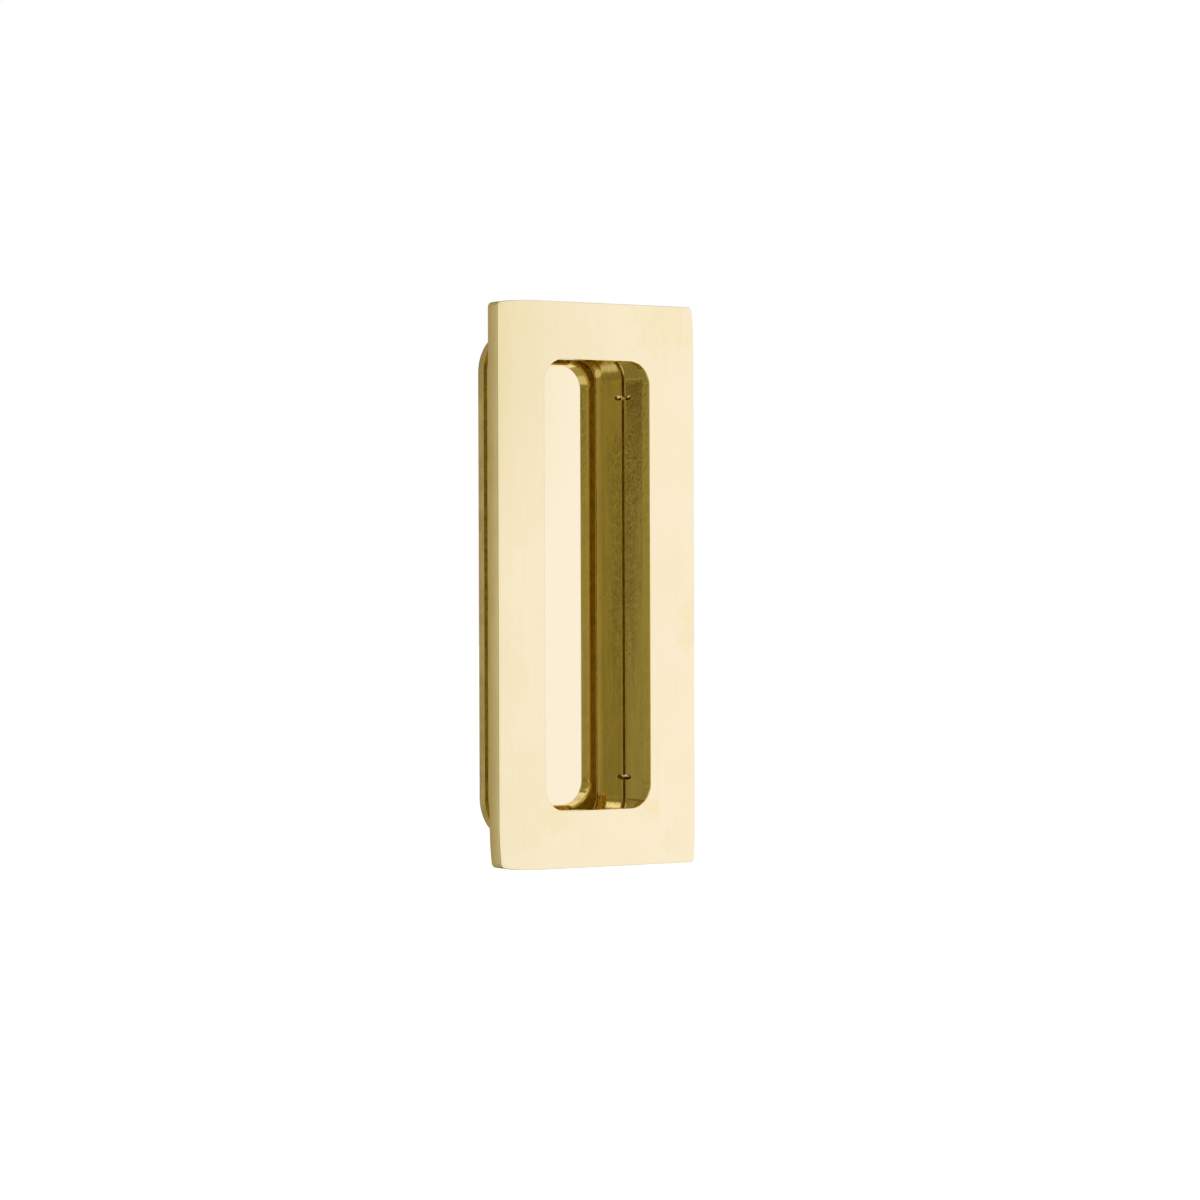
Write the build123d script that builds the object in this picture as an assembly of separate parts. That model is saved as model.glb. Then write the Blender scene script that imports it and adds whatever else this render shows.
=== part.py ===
from build123d import *
import os
from math import cos, radians, sin, tan

# A flush pull of solid brass, let into a pocket in a door or drawer front.
# Millimetres. X is the width, Y runs into the door and Z is the height.
# The origin is the middle of the door's surface, where the back of the face plate lies.

# Face plate
plate_width = 44.45
plate_height = 101.6
plate_thickness = 2.95
plate_corner = 0.8
plate_front_edge = 0.25

# Buffing has worn the outline back towards its corners. The first number is how far
# the side has gone in at that corner, and the second how far the end has.
worn_length = 8.0
worn = {
    "top_left": (0.0, 0.65),
    "top_right": (0.5, 0.0),
    "bottom_right": (0.25, 0.0),
    "bottom_left": (0.5, 0.7),
}

# Finger slot through the face plate. The lip round it is as thick as given at its edge, and
# thicker by the slope where it meets the wall of the cup.
slot_width = 23.65
slot_height = 80.9
slot_corner = 4.4
slot_front_edge = 0.3
lip_thickness = 2.45
lip_back_edge = 0.45
lip_slope = 0.2

# Cup behind the face plate. Its inside is wider than the slot all round, by the undercut
# at the floor and by less at the lip, because the casting's core was drawn out backwards.
undercut = 2.1
wall_draft = 1.6
undercut_root = 0.15
wall_side = 3.5
wall_end = 4.0
wall_depth = 7.5
cup_corner = 8.3

# Back plate, the floor of the recess
back_thickness = 2.25
back_edge = 0.35

# Edges broken at the joint of wall and back plate: the groove round the outside of the
# cup lies between the first two, and the third is the dark line in the recess's corner.
joint_bevel_wall = 0.7
joint_bevel_back = 0.35
joint_bevel_inside = 0.35

# Pin holes, drilled by hand in the corner of wall and floor, and out of the back.
# They lean enough for a pin to pass the lip on its way in, and the overlap is how far
# each one cuts into the recess at the floor.
pin_hole = 0.9
pin_lean = {"top": 21.5, "bottom": 20.0}
pin_overlap = {"top": 0.05, "bottom": 0.25}
pin_spacing = 69.7
pin_drop = 0.45
pin_start = 5.0
pin_end = 5.0

# How near a face's depth must be to count as at that depth
depth_match = 0.0001

cavity_width = slot_width + 2 * undercut
cavity_height = slot_height + 2 * undercut
cavity_corner = slot_corner + undercut
cup_width = cavity_width + 2 * wall_side
cup_height = cavity_height + 2 * wall_end
lip_back = lip_thickness - plate_thickness
lip_root = lip_back + lip_slope
root_inset = (wall_depth - lip_root) * tan(radians(wall_draft))


def upright(y):
    """A drawing plane parallel to the door, seen from the front, at depth y."""
    return Plane(origin=(0, y, 0), x_dir=(1, 0, 0), z_dir=(0, -1, 0))


def slab(outline, front, back, taper=0):
    """The outline at depth back, as a solid that runs to depth front and narrows by the taper."""
    return extrude(upright(back) * outline, amount=back - front, taper=taper)


def plate_outline():
    """Rectangle whose sides and ends curve gently in towards its worn corners."""
    half_width = plate_width / 2
    half_height = plate_height / 2
    places = {
        "top_left": (-1, 1),
        "top_right": (1, 1),
        "bottom_right": (1, -1),
        "bottom_left": (-1, -1),
    }
    order = list(places)

    def corner(name):
        side, end = places[name]
        side_in, end_in = worn[name]
        return Vector(side * (half_width - side_in), end * (half_height - end_in))

    def edge(start, finish):
        """One side or end: a straight line, with an arc to each corner that is worn."""
        level = places[start][1] == places[finish][1]
        along = Vector(places[finish][0] - places[start][0], places[finish][1] - places[start][1]).normalized()
        pieces = []
        ends = []
        for name, towards in ((start, -along), (finish, along)):
            side, end = places[name]
            fall = worn[name][1] if level else worn[name][0]
            point = corner(name)
            if fall:
                if level:
                    tangent_point = Vector(point.X, end * half_height) - towards * worn_length
                else:
                    tangent_point = Vector(side * half_width, point.Y) - towards * worn_length
                pieces.append(TangentArc(tangent_point, point, tangent=towards))
                point = tangent_point
            ends.append(point)
        pieces.append(Line(*ends))
        return pieces

    edges = []
    for start, finish in zip(order, order[1:] + order[:1]):
        edges += edge(start, finish)
    sharp = make_face(edges)
    corners = [v for v in sharp.vertices() if any((Vector(v) - corner(name)).length < plate_corner for name in order)]
    return fillet(corners, plate_corner)


def outer_edges(face):
    return face.outer_wire().edges()


def inner_edges(face):
    return face.inner_wires()[0].edges()


def face_at(solid, y, normal):
    """The flat face of the solid at depth y whose outward normal points along Y as given."""
    flat = solid.faces().filter_by(GeomType.PLANE).filter_by(Axis.Y)
    return [f for f in flat if abs(f.center().Y - y) < depth_match and f.normal_at().Y * normal > 0][0]


def edges_at(solid, y):
    """The edges of the solid that lie at depth y all along."""
    return solid.edges().filter_by_position(Axis.Y, y - depth_match, y + depth_match)


def cavity():
    """The recess behind the lip: a tapered pocket under a shallow sloping roof."""
    pocket = RectangleRounded(cavity_width, cavity_height, cavity_corner)
    roof = RectangleRounded(
        cavity_width - 2 * root_inset, cavity_height - 2 * root_inset, cavity_corner - root_inset
    )
    slot = RectangleRounded(slot_width, slot_height, slot_corner)
    slope = loft([(upright(lip_root) * roof).face(), (upright(lip_back) * slot).face()])
    return slab(pocket, lip_root, wall_depth, wall_draft) + slope


def pin_holes():
    """The four slanted holes, one on each side of the recess near its top and its bottom."""
    holes = []
    for end, height in (("top", pin_spacing / 2 - pin_drop), ("bottom", -pin_spacing / 2 - pin_drop)):
        angle = radians(pin_lean[end])
        floor_x = cavity_width / 2 - pin_overlap[end] + pin_hole / 2 / cos(angle)
        for side in (-1, 1):
            lean = Vector(side * sin(angle), cos(angle), 0)
            crossing = Vector(side * floor_x, wall_depth, height)
            drill = Plane(origin=crossing - lean * pin_start, z_dir=lean)
            holes.append(extrude(drill * Circle(pin_hole / 2), amount=pin_start + pin_end))
    return holes


def pull_body():
    """Face plate and cup wall in one piece, with the slot and the wider recess behind it."""
    cup = RectangleRounded(cup_width, cup_height, cup_corner)
    slot = RectangleRounded(slot_width, slot_height, slot_corner)
    body = slab(plate_outline(), -plate_thickness, 0) + slab(cup, 0, wall_depth)
    body -= slab(slot, -plate_thickness, lip_back)
    body -= cavity()
    body = fillet(outer_edges(face_at(body, -plate_thickness, -1)), plate_front_edge)
    body = fillet(inner_edges(face_at(body, -plate_thickness, -1)), slot_front_edge)
    body = fillet(edges_at(body, lip_root), undercut_root)
    body = fillet(edges_at(body, lip_back), lip_back_edge)
    body = chamfer(outer_edges(face_at(body, wall_depth, 1)), joint_bevel_wall)
    body = chamfer(inner_edges(face_at(body, wall_depth, 1)), joint_bevel_inside)
    return body - pin_holes()


def back_plate():
    """Flat plate that closes the cup, bevelled at the joint and rounded behind."""
    cup = RectangleRounded(cup_width, cup_height, cup_corner)
    plate = slab(cup, wall_depth, wall_depth + back_thickness)
    plate = chamfer(outer_edges(face_at(plate, wall_depth, -1)), joint_bevel_back)
    plate = fillet(outer_edges(face_at(plate, wall_depth + back_thickness, 1)), back_edge)
    return plate - pin_holes()


os.makedirs("parts", exist_ok=True)
for name, solid in (("pull_body", pull_body()), ("back_plate", back_plate())):
    export_step(solid, f"parts/{name}.step")
    box = solid.bounding_box()
    print(f"{name}: {solid.volume:.1f} mm3, {box.size.X:.2f} x {box.size.Y:.2f} x {box.size.Z:.2f} mm")
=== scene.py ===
from math import cos, radians, sin, tan
import bmesh
import bpy
from mathutils import Matrix, Vector, noise


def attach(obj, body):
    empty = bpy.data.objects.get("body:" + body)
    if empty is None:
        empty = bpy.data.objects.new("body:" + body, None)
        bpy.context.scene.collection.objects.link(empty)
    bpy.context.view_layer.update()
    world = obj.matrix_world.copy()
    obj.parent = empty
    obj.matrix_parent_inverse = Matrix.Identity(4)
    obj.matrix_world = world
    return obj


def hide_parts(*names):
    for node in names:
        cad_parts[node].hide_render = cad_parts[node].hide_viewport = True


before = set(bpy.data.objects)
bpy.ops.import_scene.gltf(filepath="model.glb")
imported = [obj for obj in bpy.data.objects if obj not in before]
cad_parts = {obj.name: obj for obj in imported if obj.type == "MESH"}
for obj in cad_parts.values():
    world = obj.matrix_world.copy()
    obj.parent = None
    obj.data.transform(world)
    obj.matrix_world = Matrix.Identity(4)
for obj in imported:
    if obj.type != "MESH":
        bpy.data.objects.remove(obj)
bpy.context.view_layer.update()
scene = bpy.context.scene
mm = 0.001

# Face plate, in millimetres
plate = {
    "width": 44.45,
    "height": 101.6,
    "thickness": 2.95,
    "corner": 0.8,
    "frontEdge": 0.15,
    "backEdge": 0.1,
    # buffing left the sides a little barrel shaped, and the face falls away at its rim
    "sideCrown": 0.05,
    "rimShare": 0.35,
    "rimFall": 0.015,
    "wornLength": 8.0,
    # how far buffing took the side in, and the end, at each corner
    "worn": {(1, 1): (0.5, 0.0), (-1, 1): (0.0, 0.65), (-1, -1): (0.5, 0.7), (1, -1): (0.25, 0.0)},
}

# Finger slot and the recess behind it
recess = {
    "slotWidth": 23.65,
    "slotHeight": 80.9,
    "slotCorner": 4.4,
    "slotEdge": 0.15,
    "lipThickness": 2.45,
    "lipBackEdge": 0.45,
    # the lip is thicker by this much where it meets the wall
    "lipSlope": 0.2,
    "undercut": 2.1,
    # how much further than the undercut the recess reaches at its ends
    "longerTop": -0.35,
    "longerBottom": 1.18,
    "corner": 4.8,
    "rootFillet": 0.15,
    # the wall leans out towards the back, as the casting's core did. It curves in near the
    # lip and a little at its foot, where it ends in a small round
    "draft": 1.6,
    "headFrom": 1.7,
    "headRadius": 5.8,
    "footFrom": 6.75,
    "footReach": 0.5,
    "footRadius": 0.95,
    "footRound": 0.06,
    # a file has eased the back of the slot in its corners, by this angle. The onset tells
    # how soon it bites where a straight side ends
    "filedLean": 8.0,
    "filedOnset": 0.1,
    # unevenness that casting and filing left in the wall, and over which share of the
    # wall's depth it fades at both edges
    "waveSize": 3.0,
    "waveHeight": 0.008,
    "waveFade": 0.25,
}

# Cup wall and the plate that closes it
cup = {
    "wallSide": 3.5,
    "wallEnd": 4.0,
    "depth": 7.5,
    "corner": 8.3,
    "jointWall": 0.7,
    "jointBack": 0.35,
    "jointInside": 0.35,
    "backThickness": 2.25,
    "backEdge": 0.35,
}

# Pin holes: the pair at the top barely cuts into the recess at the floor
pins = {
    "diameter": 0.9,
    "leanTop": 21.5,
    "leanBottom": 20.0,
    "spacing": 69.7,
    "drop": 0.45,
    "overlapTop": 0.05,
    "overlapBottom": 0.25,
    "reach": 5.0,
    "sides": 32,
}

mesh = {
    "arcSteps": 24,
    "sideSteps": 150,
    "endSteps": 36,
    "edgeSteps": 8,
    "wallSteps": 40,
    "rimSteps": 6,
    "crownSteps": 10,
    "smoothAngle": 30.0,
    "areaWeight": 100,
}

cavityWidth = recess["slotWidth"] + 2 * recess["undercut"]
cavityHeight = recess["slotHeight"] + 2 * recess["undercut"]
lipBack = recess["lipThickness"] - plate["thickness"]


def roundedOutline(width, height, corner, longerTop=0, longerBottom=0):
    # points and outward normals, anticlockwise from the right side, seen from the front
    points = []
    length = height + longerTop + longerBottom - 2 * corner
    for sx, sz, start in ((1, 1, 0), (-1, 1, 90), (-1, -1, 180), (1, -1, 270)):
        reach = height / 2 + (longerTop if sz > 0 else longerBottom)
        centre = Vector((sx * (width / 2 - corner), 0, sz * (reach - corner)))
        for i in range(mesh["arcSteps"] + 1):
            angle = radians(start + 90 * i / mesh["arcSteps"])
            normal = Vector((cos(angle), 0, sin(angle)))
            points.append((centre + normal * corner, normal))
        # the straight stretch up to the next corner
        if sx == sz:
            steps = mesh["endSteps"]
            run = Vector((-sz * (width - 2 * corner), 0, 0))
        else:
            steps = mesh["sideSteps"]
            run = Vector((0, 0, -sz * length))
        last, normal = points[-1]
        points += [(last + run * i / steps, normal) for i in range(1, steps)]
    return points


def wornBack(point):
    # buffing has taken the outline in, more and more towards some corners
    side = 1 if point.x > 0 else -1
    end = 1 if point.z > 0 else -1
    sideIn, endIn = plate["worn"][side, end]
    length = plate["wornLength"]
    nearEnd = max(0, 1 - (plate["height"] / 2 - abs(point.z)) / length)
    nearSide = max(0, 1 - (plate["width"] / 2 - abs(point.x)) / length)
    # in proportion to the distance from the middle, so that the points of the other edge
    # keep their order
    sideIn *= nearEnd ** 2 * 2 * abs(point.x) / plate["width"]
    endIn *= nearSide ** 2 * 2 * abs(point.z) / plate["height"]
    return point - Vector((side * sideIn, 0, end * endIn))


outlines = {
    "plate": roundedOutline(plate["width"], plate["height"], plate["corner"]),
    "slot": roundedOutline(recess["slotWidth"], recess["slotHeight"], recess["slotCorner"]),
    "cavity": roundedOutline(
        cavityWidth, cavityHeight, recess["corner"], recess["longerTop"], recess["longerBottom"]),
    "cup": roundedOutline(
        cavityWidth + 2 * cup["wallSide"], cavityHeight + 2 * cup["wallEnd"], cup["corner"]),
}
outlines["plate"] = [(wornBack(point), normal) for point, normal in outlines["plate"]]


def ring(outline, grow, depth):
    sunk = Vector((0, depth * mm, 0))
    return [(point + normal * grow) * mm + sunk for point, normal in outlines[outline]]


def roundedEdge(outline, radius, depth, grow, sink, offset=0):
    # a quarter round between the flat at that depth and the side that stands at the offset:
    # grow and sink are +1 or -1, away from the metal's corner
    rings = []
    for i in range(mesh["edgeSteps"] + 1):
        angle = radians(90 * i / mesh["edgeSteps"])
        across = offset + grow * radius * (1 - cos(angle))
        rings.append(ring(outline, across, depth + sink * radius * (1 - sin(angle))))
    return rings


def stackRings(name, bands, closed):
    # quads between each ring and the next. A band is its finish and its rings, and starts
    # at the last ring of the band before it
    bm = bmesh.new()
    finishes = []
    first = last = None
    for finish, rings in bands:
        if finish not in finishes:
            finishes.append(finish)
        for points in rings:
            loop = [bm.verts.new(co) for co in points]
            if last:
                joinLoops(bm, last, loop, finishes.index(finish))
            first = first or loop
            last = loop
    if closed:
        joinLoops(bm, last, first, finishes.index(bands[-1][0]))
    else:
        for loop, finish in ((first, bands[0][0]), (last, bands[-1][0])):
            bm.faces.new(loop).material_index = finishes.index(finish)
    bmesh.ops.recalc_face_normals(bm, faces=bm.faces)
    data = bpy.data.meshes.new(name)
    bm.to_mesh(data)
    bm.free()
    for finish in finishes:
        data.materials.append(materials[finish])
    obj = bpy.data.objects.new(name, data)
    scene.collection.objects.link(obj)
    return obj


def joinLoops(bm, first, second, finish):
    count = len(first)
    for i in range(count):
        j = (i + 1) % count
        bm.faces.new((first[i], first[j], second[j], second[i])).material_index = finish


def drafted(depth):
    # how far out the recess's wall stands at that depth, against its foot
    lean = tan(radians(recess["draft"])) * (cup["depth"] - depth)
    head = max(0, recess["headFrom"] - depth) ** 2 / (2 * recess["headRadius"])
    foot = min(max(0, depth - recess["footFrom"]), recess["footReach"]) ** 2 / (2 * recess["footRadius"])
    return -lean - head - foot


def unevenWall(depth, share):
    # one ring of the recess's wall, pushed in and out by a slow noise that fades at both edges
    points = []
    fade = min(1, share / recess["waveFade"], (1 - share) / recess["waveFade"])
    for point, normal in outlines["cavity"]:
        place = Vector((point.x, depth, point.z)) / recess["waveSize"]
        across = drafted(depth) + recess["waveHeight"] * fade * noise.noise(place)
        points.append((point + normal * across) * mm + Vector((0, depth * mm, 0)))
    return points


def filedCorners(rings):
    # the slot's side, cut back in its corners, more and more with depth
    start = recess["slotEdge"] - plate["thickness"]
    slope = tan(radians(recess["filedLean"]))
    filed = []
    for points in rings:
        moved = []
        for point, (_, normal) in zip(points, outlines["slot"]):
            share = min(1, abs(normal.x * normal.z) / recess["filedOnset"])
            moved.append(point + normal * share * slope * max(0, point.y - start * mm))
        filed.append(moved)
    return filed


def makeBody():
    front = -plate["thickness"]
    crown = plate["sideCrown"]
    wallFoot = cup["depth"] - cup["jointInside"] - recess["footRound"]
    lipRoot = lipBack + recess["lipSlope"]
    wallHead = lipRoot + recess["rootFillet"]
    # the foot turns an eighth of a circle on its way to the bevel
    foot = []
    for i in range(mesh["edgeSteps"]):
        angle = radians(45 * (1 - i / mesh["edgeSteps"]))
        across = drafted(wallFoot) + recess["footRound"] * (1 - cos(angle))
        foot.append(ring("cavity", across, wallFoot + recess["footRound"] * sin(angle)))
    wall = []
    for i in range(mesh["wallSteps"] + 1):
        share = i / mesh["wallSteps"]
        wall.append(unevenWall(wallFoot + (wallHead - wallFoot) * share, share))
    # the wall turns a quarter of a circle into the lip's underside
    root = roundedEdge("cavity", recess["rootFillet"], lipRoot, -1, 1, drafted(wallHead))
    lipEdge = filedCorners(roundedEdge("slot", recess["lipBackEdge"], lipBack, 1, -1)[::-1])
    # the face falls away towards its outer edge
    rim = []
    rimDepth = front + plate["rimFall"]
    inner = ring("slot", recess["slotEdge"], front)
    outer = ring("plate", -crown - plate["frontEdge"], rimDepth)
    for i in range(mesh["rimSteps"]):
        near = i / mesh["rimSteps"]
        share = 1 - plate["rimShare"] * (1 - near)
        lift = Vector((0, plate["rimFall"] * (near ** 2 - share) * mm, 0))
        rim.append([a.lerp(b, share) + lift for a, b in zip(inner, outer)])
    frontEdge = roundedEdge("plate", plate["frontEdge"], rimDepth, -1, 1, -crown)[::-1]
    # the side swells between its two edges
    side = []
    sideFrom = rimDepth + plate["frontEdge"]
    for i in range(1, mesh["crownSteps"]):
        share = i / mesh["crownSteps"]
        swell = crown * (1 - (2 * share - 1) ** 2)
        side.append(ring("plate", swell - crown, sideFrom - (sideFrom + plate["backEdge"]) * share))
    backEdge = [ring("plate", -crown, -plate["backEdge"]), ring("plate", -crown - plate["backEdge"], 0)]
    bands = [
        ("joint", [ring("cavity", cup["jointInside"], cup["depth"]), foot[0]]),
        ("recessWall", foot[1:] + wall + root[1:]),
        # the lip's underside, in its painted-shade colour
        ("lipUnderShade", lipEdge[:1]),
        ("lip", lipEdge[1:] + roundedEdge("slot", recess["slotEdge"], front, 1, 1)),
        ("face", rim + frontEdge[:1]),
        ("side", frontEdge[1:] + side + backEdge),
        ("cupSide", [ring("cup", 0, 0), ring("cup", 0, cup["depth"] - cup["jointWall"])]),
        ("joint", [ring("cup", -cup["jointWall"], cup["depth"])]),
    ]
    return stackRings("pullBody", bands, closed=True)


def makeBackPlate():
    top = cup["depth"]
    back = top + cup["backThickness"]
    bands = [
        ("floor", [ring("cup", -cup["jointBack"], top)]),
        ("joint", [ring("cup", 0, top + cup["jointBack"])]),
        ("cupSide", roundedEdge("cup", cup["backEdge"], back, -1, -1)),
        ("cupBack", []),
    ]
    return stackRings("backPlate", bands, closed=False)


def addNode(tree, kind, inputs=None, **settings):
    # a node with its settings made, and its inputs linked or given their values
    made = tree.nodes.new(kind)
    for key, value in settings.items():
        setattr(made, key, value)
    for key, value in (inputs or {}).items():
        if isinstance(value, bpy.types.NodeSocket):
            tree.links.new(value, made.inputs[key])
        else:
            made.inputs[key].default_value = value
    return made


def calculate(tree, operation, *values):
    return addNode(tree, "ShaderNodeMath", dict(enumerate(values)), operation=operation).outputs[0]


def makePinDrills(material):
    # four slanted drills, leaning away from the middle, by geometry nodes
    tree = bpy.data.node_groups.new("pinDrillNodes", "GeometryNodeTree")
    tree.interface.new_socket("Geometry", in_out="INPUT", socket_type="NodeSocketGeometry")
    for label in ("Cavity Width", "Spacing", "Drop", "Floor Depth", "Radius", "Reach",
                  "Lean Top", "Lean Bottom", "Overlap Top", "Overlap Bottom"):
        tree.interface.new_socket(label, in_out="INPUT", socket_type="NodeSocketFloat")
    tree.interface.new_socket("Sides", in_out="INPUT", socket_type="NodeSocketInt")
    tree.interface.new_socket("Material", in_out="INPUT", socket_type="NodeSocketMaterial")
    tree.interface.new_socket("Geometry", in_out="OUTPUT", socket_type="NodeSocketGeometry")
    given = tree.nodes.new("NodeGroupInput").outputs

    # a grid of two by two unit points tells left from right and top from bottom
    grid = addNode(tree, "GeometryNodeMeshGrid", {
        "Size X": 2.0, "Size Y": 2.0, "Vertices X": 2, "Vertices Y": 2})
    here = addNode(tree, "GeometryNodeInputPosition").outputs[0]
    corner = addNode(tree, "ShaderNodeSeparateXYZ", {0: here}).outputs
    isTop = calculate(tree, "GREATER_THAN", corner["Y"], 0.0)

    def byEnd(size):
        inputs = {"Factor": isTop, "A": given[size + " Bottom"], "B": given[size + " Top"]}
        return addNode(tree, "ShaderNodeMix", inputs).outputs[0]

    lean = byEnd("Lean")
    cosine = calculate(tree, "COSINE", lean)
    sine = calculate(tree, "SINE", lean)
    out = calculate(tree, "MULTIPLY", given["Cavity Width"], 0.5)
    out = calculate(tree, "SUBTRACT", out, byEnd("Overlap"))
    out = calculate(tree, "ADD", out, calculate(tree, "DIVIDE", given["Radius"], cosine))
    height = calculate(tree, "MULTIPLY", corner["Y"], calculate(tree, "MULTIPLY", given["Spacing"], 0.5))
    place = addNode(tree, "ShaderNodeCombineXYZ", {
        "X": calculate(tree, "MULTIPLY", out, corner["X"]),
        "Y": given["Floor Depth"],
        "Z": calculate(tree, "SUBTRACT", height, given["Drop"]),
    })
    aim = addNode(tree, "ShaderNodeCombineXYZ", {
        "X": calculate(tree, "MULTIPLY", sine, corner["X"]), "Y": cosine})
    turn = addNode(tree, "FunctionNodeAlignRotationToVector", {"Vector": aim.outputs[0]})
    drill = addNode(tree, "GeometryNodeMeshCylinder", {
        "Vertices": given["Sides"], "Radius": given["Radius"], "Depth": given["Reach"]})
    # the turn is stored first, because it reads the grid that the next node moves
    kept = addNode(tree, "GeometryNodeStoreNamedAttribute", {
        "Geometry": grid.outputs["Mesh"], "Name": "turn", "Value": turn.outputs[0],
    }, data_type="QUATERNION")
    moved = addNode(tree, "GeometryNodeSetPosition", {
        "Geometry": kept.outputs[0], "Position": place.outputs[0]})
    stored = addNode(tree, "GeometryNodeInputNamedAttribute", {"Name": "turn"}, data_type="QUATERNION")
    spread = addNode(tree, "GeometryNodeInstanceOnPoints", {
        "Points": moved.outputs[0], "Instance": drill.outputs["Mesh"], "Rotation": stored.outputs[0]})
    real = addNode(tree, "GeometryNodeRealizeInstances", {0: spread.outputs[0]})
    paint = addNode(tree, "GeometryNodeSetMaterial", {
        "Geometry": real.outputs[0], "Material": given["Material"]})
    addNode(tree, "NodeGroupOutput", {"Geometry": paint.outputs[0]})

    obj = bpy.data.objects.new("pinDrills", bpy.data.meshes.new("pinDrills"))
    scene.collection.objects.link(obj)
    modifier = obj.modifiers.new("drills", "NODES")
    modifier.node_group = tree
    sizes = {
        "Cavity Width": cavityWidth * mm,
        "Spacing": pins["spacing"] * mm,
        "Drop": pins["drop"] * mm,
        "Overlap Top": pins["overlapTop"] * mm,
        "Overlap Bottom": pins["overlapBottom"] * mm,
        "Floor Depth": cup["depth"] * mm,
        "Radius": pins["diameter"] / 2 * mm,
        "Reach": 2 * pins["reach"] * mm,
        "Lean Top": radians(pins["leanTop"]),
        "Lean Bottom": radians(pins["leanBottom"]),
        "Sides": pins["sides"],
        "Material": material,
    }
    for socket in tree.interface.items_tree:
        if socket.in_out == "INPUT" and socket.name in sizes:
            modifier[socket.identifier] = sizes[socket.name]
    return settle(obj)


def settle(obj):
    # the modifiers' result becomes the piece's own mesh
    graph = bpy.context.evaluated_depsgraph_get()
    data = bpy.data.meshes.new_from_object(obj.evaluated_get(graph), depsgraph=graph)
    data.name = obj.name
    obj.modifiers.clear()
    obj.data = data
    return obj


def drillAndSmooth(obj, drills):
    cut = obj.modifiers.new("pinHoles", "BOOLEAN")
    cut.operation = "DIFFERENCE"
    cut.object = drills
    cut.solver = "EXACT"
    cut.material_mode = "TRANSFER"
    settle(obj)
    for face in obj.data.polygons:
        face.use_smooth = True
    obj.data.set_sharp_from_angle(angle=radians(mesh["smoothAngle"]))
    flow = obj.modifiers.new("flatFaces", "WEIGHTED_NORMAL")
    flow.mode = "FACE_AREA"
    flow.weight = mesh["areaWeight"]
    flow.keep_sharp = True
    return settle(obj)
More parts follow.
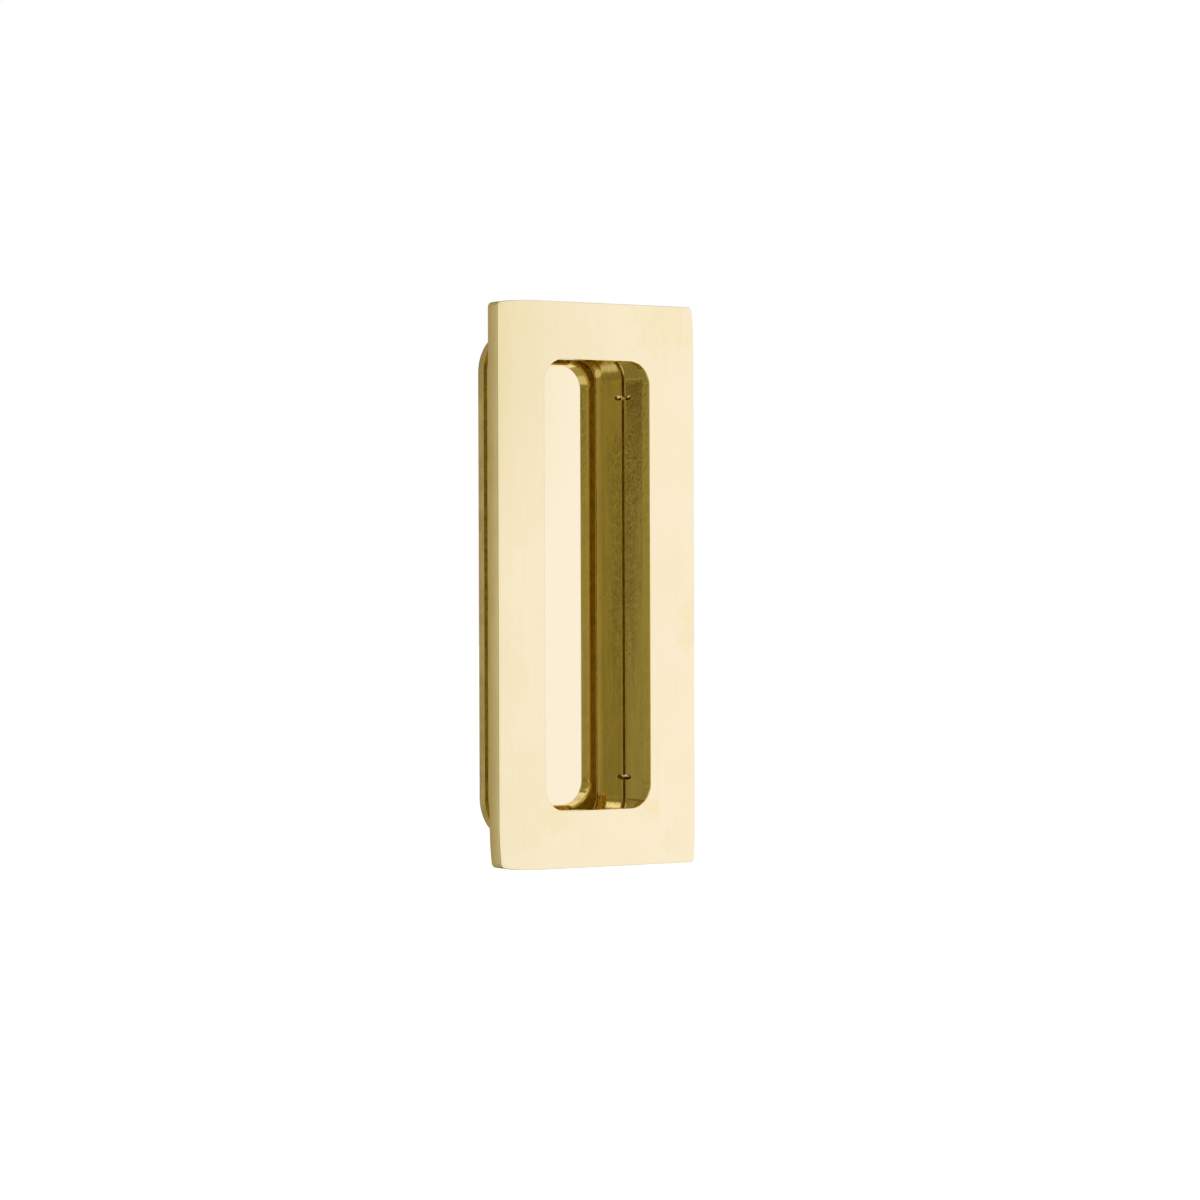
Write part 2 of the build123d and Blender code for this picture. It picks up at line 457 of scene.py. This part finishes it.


# Finishes of the brass. Sizes are in millimetres and depths in thousandths of a millimetre.
# tarnishAndShade: its colour, the size of its blotches and how far it takes over the colour. It is tarnish,
# except on the lip's underside and in the pin holes, where it is painted shade
# streaks: polishing lines, by their size along X, Y and Z, their shade and their depth
# wave: the slow unevenness that a mirror shows, by its size and depth
# chatter: short ripples left by a file, by their width, length, angle, shade and depth
# pits: their spacing, radius, share of the places that have one, shade and depth
# tintedSpots: patches of a yellower, slightly darker colour at given places: their colour, and for each its
# middle and reach along X and Z, and its share
finishes = {
    "face": {
        "colour": (0.905, 0.785, 0.530),
        "roughness": (0.05, 0.10),
        "tarnishAndShade": ((0.88, 0.755, 0.47), 11.0, 0.5),
        "streaks": ((0.35, 0.35, 16.0), 0.012, 0.02),
        "wave": (7.0, 0.6),
        "pits": (2.6, 0.07, 0.10, 0.12, 0.5),
        "tintedSpots": ((0.86, 0.735, 0.40), (
            ((20.6, -7.0), (3.0, 7.0), 0.45),
            ((11.4, -40.2), (3.2, 3.0), 0.5),
            ((-9.6, -42.2), (5.4, 3.0), 0.4),
            ((-20.0, 49.0), (9.0, 7.0), 0.15),
            ((16.0, 47.0), (10.0, 6.5), 0.4),
            ((16.0, -47.0), (3.6, 3.0), 0.25),
            ((-21.9, 50.2), (0.9, 1.6), 1.0),
        )),
    },
    "side": {
        "colour": (0.905, 0.785, 0.500),
        "roughness": (0.08, 0.16),
        "tarnishAndShade": ((0.83, 0.70, 0.40), 5.0, 0.5),
        "streaks": ((14.0, 0.28, 14.0), 0.05, 0.15),
        "wave": (4.0, 0.8),
        "pits": (1.9, 0.08, 0.12, 0.25, 1.0),
    },
    "lip": {
        "colour": (0.93, 0.81, 0.45),
        "roughness": (0.04, 0.09),
        "tarnishAndShade": ((0.86, 0.73, 0.37), 2.4, 0.7),
        "streaks": ((9.0, 0.22, 9.0), 0.06, 0.6),
        "wave": (0.8, 30.0),
        "pits": (1.3, 0.15, 0.6, 0.4, 3.0),
    },
    "recessWall": {
        "colour": (0.875, 0.745, 0.400),
        "roughness": (0.03, 0.07),
        "tarnishAndShade": ((0.83, 0.70, 0.365), 3.0, 0.8),
        "streaks": ((10.0, 0.32, 10.0), 0.15, 0.5),
        "wave": (0.5, 20.0),
        "chatter": (0.32, 1.3, 52.0, 0.26, 12.0),
        "pits": (1.9, 0.20, 0.5, 0.6, 5.0),
    },
    # painted shade: the lip's underside is coloured dark brown, with darker brown over all of it, for the
    # shade it lies in beneath the lip
    "lipUnderShade": {
        "colour": (0.48, 0.37, 0.075),
        "roughness": (0.06, 0.12),
        "tarnishAndShade": ((0.36, 0.26, 0.045), 1.2, 1.0),
        "wave": (0.8, 8.0),
    },
    "floor": {
        "colour": (0.930, 0.815, 0.585),
        "roughness": (0.02, 0.05),
        "tarnishAndShade": ((0.92, 0.815, 0.57), 9.0, 0.6),
        "streaks": ((0.5, 0.5, 12.0), 0.006, 0.01),
        "wave": (6.0, 0.4),
    },
    "joint": {
        "colour": (0.38, 0.25, 0.010),
        "roughness": (0.35, 0.6),
        "tarnishAndShade": ((0.25, 0.155, 0.006), 1.0, 1.0),
        "wave": (0.6, 6.0),
    },
    "cupSide": {
        "colour": (0.81, 0.68, 0.40),
        "roughness": (0.10, 0.2),
        "tarnishAndShade": ((0.62, 0.51, 0.26), 3.5, 0.8),
        "streaks": ((10.0, 0.3, 10.0), 0.14, 0.6),
        "wave": (1.6, 3.0),
        "pits": (1.5, 0.10, 0.2, 0.35, 2.0),
    },
    "cupBack": {
        "colour": (0.84, 0.72, 0.44),
        "roughness": (0.16, 0.30),
        "tarnishAndShade": ((0.70, 0.57, 0.30), 8.0, 1.0),
        "streaks": ((0.3, 0.3, 9.0), 0.10, 0.8),
        "wave": (3.0, 3.0),
        "pits": (2.0, 0.12, 0.2, 0.4, 2.0),
    },
    # painted shade: the pin holes' bores are coloured dark brown, with darker brown over all of it, for the
    # shade inside the holes
    "drilled": {
        "colour": (0.34, 0.20, 0.02),
        "roughness": (0.5, 0.7),
        "tarnishAndShade": ((0.20, 0.11, 0.008), 0.4, 1.0),
        "wave": (0.3, 3.0),
    },
    "burr": {
        "colour": (0.95, 0.84, 0.55),
        "roughness": (0.08, 0.16),
        "tarnishAndShade": ((0.72, 0.58, 0.24), 0.35, 0.5),
        "wave": (0.25, 4.0),
    },
}

# How the noise behind each pattern is used
patterns = {
    # the two values of the noise between which the pattern comes in, and the noise's detail
    "blotch": (0.35, 0.7, 5.0),
    "haze": (0.3, 0.7, 4.0),
    "streak": (0.3, 0.7, 3.0),
    "stroke": (0.35, 0.65, 1.0),
    "patch": (0.4, 0.55, 2.0),
    # the size of the haze's clouds against the tarnish's
    "hazeSize": 1.7,
    "waveDetail": 4.0,
    # the ragged edge of stains: the size of its noise, the detail and how far it reaches
    "ragged": (3.0, 6.0, 3.0),
    # the flat middle of a pit, as a share of its radius
    "pitMiddle": 0.4,
}

# Where chatter shows: between these depths, and strongest between these heights. It leans
# one way or the other, in patches
chatterPlace = {"depths": (1.5, 5.5), "heights": (-42.0, 2.0, 22.0, 36.0), "least": 0.25, "patchSize": 2.5}


def brassMaterial(name, look):
    material = bpy.data.materials.new(name)
    material.use_nodes = True
    tree = material.node_tree
    shader = tree.nodes["Principled BSDF"]
    shader.inputs["Metallic"].default_value = 1
    place = addNode(tree, "ShaderNodeTexCoord").outputs["Object"]
    split = addNode(tree, "ShaderNodeSeparateXYZ", {0: place}).outputs

    def laid(size, turn=(0, 0, 0)):
        # the place in units of that size, or of its sizes along X, Y and Z
        sizes = size if isinstance(size, tuple) else (size,) * 3
        inputs = {"Vector": place, "Rotation": turn, "Scale": tuple(length * mm for length in sizes)}
        return addNode(tree, "ShaderNodeMapping", inputs, vector_type="TEXTURE").outputs[0]

    def clouds(size, detail, turn=(0, 0, 0)):
        inputs = {"Vector": laid(size, turn), "Scale": 1.0, "Detail": detail}
        return addNode(tree, "ShaderNodeTexNoise", inputs).outputs[0]

    def spread(value, low, high, bottom=0.0, top=1.0):
        limits = {"Value": value, "From Min": low, "From Max": high, "To Min": bottom, "To Max": top}
        return addNode(tree, "ShaderNodeMapRange", limits, interpolation_type="SMOOTHSTEP").outputs[0]

    def pattern(kind, size, bottom=0.0, top=1.0, turn=(0, 0, 0)):
        low, high, detail = patterns[kind]
        return spread(clouds(size, detail, turn), low, high, bottom, top)

    blendColour, stainSize, stainShare = look["tarnishAndShade"]
    cover = calculate(tree, "MULTIPLY", pattern("blotch", stainSize), stainShare)
    inputs = {0: cover, 1: (*look["colour"], 1), 2: (*blendColour, 1)}
    colour = addNode(tree, "ShaderNodeMixRGB", inputs).outputs[0]
    if "tintedSpots" in look:
        blendColour, spots = look["tintedSpots"]
        size, detail, swing = patterns["ragged"]
        ragged = calculate(tree, "MULTIPLY_ADD", clouds(size, detail), swing, -swing / 2)
        for middle, reach, share in spots:
            parts = []
            for axis, centre, half in zip("XZ", middle, reach):
                away = calculate(tree, "SUBTRACT", split[axis], centre * mm)
                parts.append(calculate(tree, "POWER", calculate(tree, "DIVIDE", away, half * mm), 2.0))
            near = calculate(tree, "ADD", calculate(tree, "ADD", *parts), ragged)
            inputs = {0: spread(near, 1.0, 0.0, 0.0, share), 1: colour, 2: (*blendColour, 1)}
            colour = addNode(tree, "ShaderNodeMixRGB", inputs).outputs[0]
    waveSize, waveDepth = look["wave"]
    height = calculate(tree, "MULTIPLY", clouds(waveSize, patterns["waveDetail"]), waveDepth)
    light = 1.0
    if "streaks" in look:
        size, shade, depth = look["streaks"]
        low, high, detail = patterns["streak"]
        lines = clouds(size, detail)
        light = spread(lines, low, high, 1 - shade, 1.0)
        height = calculate(tree, "MULTIPLY_ADD", lines, depth, height)
    if "chatter" in look:
        width, length, angle, shade, depth = look["chatter"]
        low, high, detail = patterns["patch"]
        patches = clouds(chatterPlace["patchSize"], detail)
        ripples = 0.0
        for turn, part in ((angle, spread(patches, low, high)), (-angle, spread(patches, high, low))):
            strokes = pattern("stroke", (width, width, length), turn=(radians(turn), 0, 0))
            ripples = calculate(tree, "MULTIPLY_ADD", strokes, part, ripples)
        near, far = (sunk * mm for sunk in chatterPlace["depths"])
        foot, low, high, top = (z * mm for z in chatterPlace["heights"])
        where = calculate(tree, "MULTIPLY", spread(split["Z"], foot, low), spread(split["Z"], top, high))
        where = calculate(tree, "MULTIPLY", where, spread(split["Y"], near, far, chatterPlace["least"]))
        ripples = calculate(tree, "MULTIPLY", ripples, where)
        light = calculate(tree, "MULTIPLY", light, spread(ripples, 0.0, 1.0, 1.0, 1 - shade))
        height = calculate(tree, "MULTIPLY_ADD", ripples, depth, height)
    if "pits" in look:
        spacing, radius, share, shade, depth = look["pits"]
        cells = addNode(tree, "ShaderNodeTexVoronoi", {"Vector": laid(spacing), "Scale": 1.0}).outputs
        chosen = addNode(tree, "ShaderNodeSeparateColor", {0: cells["Color"]}).outputs[0]
        chosen = calculate(tree, "LESS_THAN", chosen, share)
        rim = radius / spacing
        pit = calculate(tree, "MULTIPLY", spread(cells["Distance"], rim, patterns["pitMiddle"] * rim), chosen)
        light = calculate(tree, "MULTIPLY", light, spread(pit, 0.0, 1.0, 1.0, 1 - shade))
        height = calculate(tree, "MULTIPLY_ADD", pit, -depth, height)
    lit = addNode(tree, "ShaderNodeVectorMath", {0: colour, "Scale": light}, operation="SCALE")
    tree.links.new(lit.outputs[0], shader.inputs["Base Color"])
    haze = pattern("haze", patterns["hazeSize"] * stainSize, *look["roughness"])
    tree.links.new(haze, shader.inputs["Roughness"])
    bump = addNode(tree, "ShaderNodeBump", {"Height": height, "Distance": mm * mm, "Strength": 1.0})
    tree.links.new(bump.outputs[0], shader.inputs["Normal"])
    return material


materials = {name: brassMaterial(name + "Brass", look) for name, look in finishes.items()}
drills = makePinDrills(materials["drilled"])
print("drills", len(drills.data.polygons), "faces")
for obj, node in ((makeBody(), "pull_body"), (makeBackPlate(), "back_plate")):
    drillAndSmooth(obj, drills)
    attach(obj, "root")
    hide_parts(node)
    print(obj.name, len(obj.data.polygons), "faces", [m.name for m in obj.data.materials])
bpy.data.objects.remove(drills)

# Curls of metal that the drill pushed up over the mouths of its holes, as low pyramids
burrs = {
    # each one: the depths at which it starts, peaks and ends, the heights above the hole's
    # middle of its peak and of the two edges of its foot, and how far it is raised
    "top": (
        ((4.9, 6.0, 7.45), (0.36, -0.15, 0.45), 0.27),
        ((6.6, 7.15, 7.5), (-0.15, -0.6, 0.25), 0.12)),
    "bottom": (((5.9, 7.2, 7.5), (0.15, 0.52, -0.1), 0.27),),
    "sink": 0.05,
}


def makeBurrs():
    bm = bmesh.new()

    def onWall(side, depth, height, out):
        x = cavityWidth / 2 + drafted(depth) - out
        return bm.verts.new(Vector((side * x, depth, height)) * mm)

    for side in (1, -1):
        for end, way in (("top", 1), ("bottom", -1)):
            middle = way * pins["spacing"] / 2 - pins["drop"]
            for (start, peak, stop), (crest, far, near), raised in burrs[end]:
                foot = [
                    onWall(side, depth, middle + height, -burrs["sink"])
                    for depth, height in ((start, crest), (peak, far), (stop, crest), (peak, near))]
                top = onWall(side, peak, middle + crest, raised)
                bm.faces.new(foot)
                for i, corner in enumerate(foot):
                    bm.faces.new((foot[i - 1], corner, top))
    bmesh.ops.recalc_face_normals(bm, faces=bm.faces)
    data = bpy.data.meshes.new("pinBurrs")
    bm.to_mesh(data)
    bm.free()
    data.materials.append(materials["burr"])
    obj = bpy.data.objects.new("pinBurrs", data)
    scene.collection.objects.link(obj)
    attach(obj, "root")
    print("pinBurrs", len(data.polygons), "faces")


makeBurrs()

# Camera, fitted to the photograph
camera = {
    "yaw": 37.27,
    "tilt": -0.099,
    "roll": -0.197,
    "distance": 0.7953,
    "lens": 132.54,
    "shift": (0.00176, -0.0126),
    "sensor": 36,
    "nearest": 0.01,
}


def makeCamera():
    yaw, tilt, roll = (radians(camera[k]) for k in ("yaw", "tilt", "roll"))
    forward = Vector((sin(yaw) * cos(tilt), cos(yaw) * cos(tilt), -sin(tilt)))
    right = Vector((cos(yaw), -sin(yaw), 0))
    up = right.cross(forward)
    rolledRight = right * cos(roll) + up * sin(roll)
    rolledUp = up * cos(roll) - right * sin(roll)
    data = bpy.data.cameras.new("photoCamera")
    data.sensor_width = camera["sensor"]
    data.lens = camera["lens"]
    data.shift_x, data.shift_y = camera["shift"]
    data.clip_start = camera["nearest"]
    obj = bpy.data.objects.new("photoCamera", data)
    scene.collection.objects.link(obj)
    target = Vector((0, -plate["thickness"] * mm, 0))
    turn = Matrix((rolledRight, rolledUp, -forward)).transposed().to_4x4()
    obj.matrix_world = Matrix.Translation(target - forward * camera["distance"]) @ turn
    scene.camera = obj
    print("camera", camera["distance"], "m from the plate")


makeCamera()

# Studio: a white room, with what the polished metal mirrors in it. Azimuth 0 is in front of
# the plate and positive to its right. Angles in degrees.
studio = {
    "room": (1.0, 1.0, 1.0),
    # Each zone: azimuth from and to, then the elevation of its lower and of its upper edge,
    # each at the first and at the last azimuth, the softness of its edges and its colour.
    # Where that changes along the zone: the azimuths between which it does, and the new one
    "zones": {
        "behindLeft": (
            (-180, -100), (-60, -60), (60, 60), 8, (0.42, 0.355, 0.205), (-150, -132), (0.58, 0.54, 0.38)),
        "behindRight": (
            (95, 180), (-60, -60), (60, 60), 8, (0.30, 0.27, 0.19), (95, 180), (0.22, 0.19, 0.11)),
        "brightSide": ((36, 92), (-70, -70), (70, 70), 6, (1.08, 1.08, 1.17)),
        "dusk": ((24, 36.4), (1.5, 1.5), (80, 80), 2, (0.93, 0.92, 0.82), (28, 38), (0.96, 0.95, 0.88)),
        "below": ((-100, 24), (-89, -89), (-12, -12), 6, (0.74, 0.73, 0.56)),
        "leftOfCamera": (
            (-84, -44), (-17, -17), (20, 28), 4, (0.40, 0.37, 0.17), (-70, -50), (0.30, 0.27, 0.10)),
        "behindCamera": (
            (-47, 8), (-17.5, -49.8), (38, 38), 1.2,
            (0.30, 0.27, 0.074), (-40.5, -38), (0.345, 0.325, 0.15)),
        "lowDusk": (
            (-47, 8), (-16.9, -49.2), (-1.3, -1.3), 1.2,
            (0.245, 0.22, 0.066), (-40.5, -38), (0.33, 0.31, 0.145)),
        "lowerDusk": (
            (-47, 8), (-16.9, -49.2), (-4.5, -4.5), 2,
            (0.235, 0.21, 0.06), (-40.5, -38), (0.27, 0.25, 0.10)),
        "highDusk": (
            (-47, 8), (5, 5), (29, 29), 3, (0.22, 0.195, 0.057), (-40.5, -38), (0.28, 0.26, 0.11)),
        "endGlow": ((-40, -29.5), (12.5, 23.5), (31, 37), 1.5, (1.2, 1.18, 1.08)),
        "overCamera": ((-30, 8), (27, 27), (38, 38), 2.5, (0.20, 0.175, 0.065)),
        "darkPatch": ((-36.6, -28), (1.65, 1.65), (5.1, 5.1), 0.5, (0.125, 0.10, 0.026)),
        "underfoot": ((-100, 24), (-100, -100), (-42, -42), 5, (0.42, 0.39, 0.22)),
        "glowBehind": (
            (-150, -120), (-1.2, -1.2), (1.2, 1.2), 2.5,
            (0.46, 0.39, 0.225), (-150, -132), (0.64, 0.595, 0.42)),
        "ceiling": ((-200, 200), (48, 48), (100, 100), 10, (0.70, 0.68, 0.58)),
    },
    "floorSize": 20,
    "floorDepth": 0.16,
    "floorColour": (0.9, 0.9, 0.9, 1),
    # how far the floor is lifted to white for the camera alone
    "floorLift": 0.52,
    # light goes to and fro between the polished walls many times before it leaves the recess
    "mirrorings": 12,
}


def makeWorld():
    world = bpy.data.worlds.new("studio")
    scene.world = world
    world.use_nodes = True
    tree = world.node_tree
    tree.nodes.clear()

    def fade(value, low, high):
        limits = {"Value": value, "From Min": radians(low), "From Max": radians(high)}
        return addNode(tree, "ShaderNodeMapRange", limits, interpolation_type="SMOOTHSTEP").outputs[0]

    way = addNode(tree, "ShaderNodeTexCoord").outputs["Generated"]
    split = addNode(tree, "ShaderNodeSeparateXYZ", {0: way}).outputs
    azimuth = calculate(tree, "ARCTAN2", split["X"], calculate(tree, "MULTIPLY", split["Y"], -1.0))
    elevation = calculate(tree, "ARCSINE", split["Z"])

    def between(value, sides, low, high):
        # low at the first side and high at the last
        limits = {"Value": value, "From Min": radians(sides[0]), "From Max": radians(sides[1]),
                  "To Min": low, "To Max": high}
        return addNode(tree, "ShaderNodeMapRange", limits).outputs[0]

    colour = (*studio["room"], 1)
    for name, (sides, lower, upper, soft, tint, *change) in studio["zones"].items():
        half = soft / 2
        mask = calculate(tree, "MULTIPLY", fade(azimuth, sides[0] - half, sides[0] + half),
                         fade(azimuth, sides[1] + half, sides[1] - half))
        lowEdge, highEdge = (between(azimuth, sides, *map(radians, edge)) for edge in (lower, upper))
        for gap in ((elevation, lowEdge), (highEdge, elevation)):
            mask = calculate(tree, "MULTIPLY", mask, fade(calculate(tree, "SUBTRACT", *gap), -half, half))
        tint = (*tint, 1)
        if change:
            turn, lastTint = change
            inputs = {0: between(azimuth, turn, 0, 1), 1: tint, 2: (*lastTint, 1)}
            tint = addNode(tree, "ShaderNodeMixRGB", inputs).outputs[0]
        colour = addNode(tree, "ShaderNodeMixRGB", {0: mask, 1: colour, 2: tint}, label=name).outputs[0]
    # the camera itself sees plain white
    path = addNode(tree, "ShaderNodeLightPath").outputs
    seen = addNode(tree, "ShaderNodeMixRGB", {0: path["Is Camera Ray"], 1: colour, 2: (1, 1, 1, 1)})
    background = addNode(tree, "ShaderNodeBackground", {"Color": seen.outputs[0]})
    addNode(tree, "ShaderNodeOutputWorld", {"Surface": background.outputs[0]})
    print("world", len(studio["zones"]), "zones")


def makeFloor():
    bpy.ops.mesh.primitive_plane_add(size=studio["floorSize"], location=(0, 0, -studio["floorDepth"]))
    obj = bpy.context.object
    obj.name = "studioFloor"
    material = bpy.data.materials.new("paleFloor")
    material.use_nodes = True
    tree = material.node_tree
    tree.nodes.clear()
    matt = addNode(tree, "ShaderNodeBsdfDiffuse", {"Color": studio["floorColour"]})
    path = addNode(tree, "ShaderNodeLightPath").outputs
    amount = calculate(tree, "MULTIPLY", path["Is Camera Ray"], studio["floorLift"])
    lift = addNode(tree, "ShaderNodeEmission", {"Strength": amount})
    both = addNode(tree, "ShaderNodeAddShader", {0: matt.outputs[0], 1: lift.outputs[0]})
    addNode(tree, "ShaderNodeOutputMaterial", {"Surface": both.outputs[0]})
    obj.data.materials.append(material)
    obj.visible_glossy = False


makeWorld()
makeFloor()
scene.view_settings.view_transform = "Standard"
scene.cycles.glossy_bounces = studio["mirrorings"]

print("done")
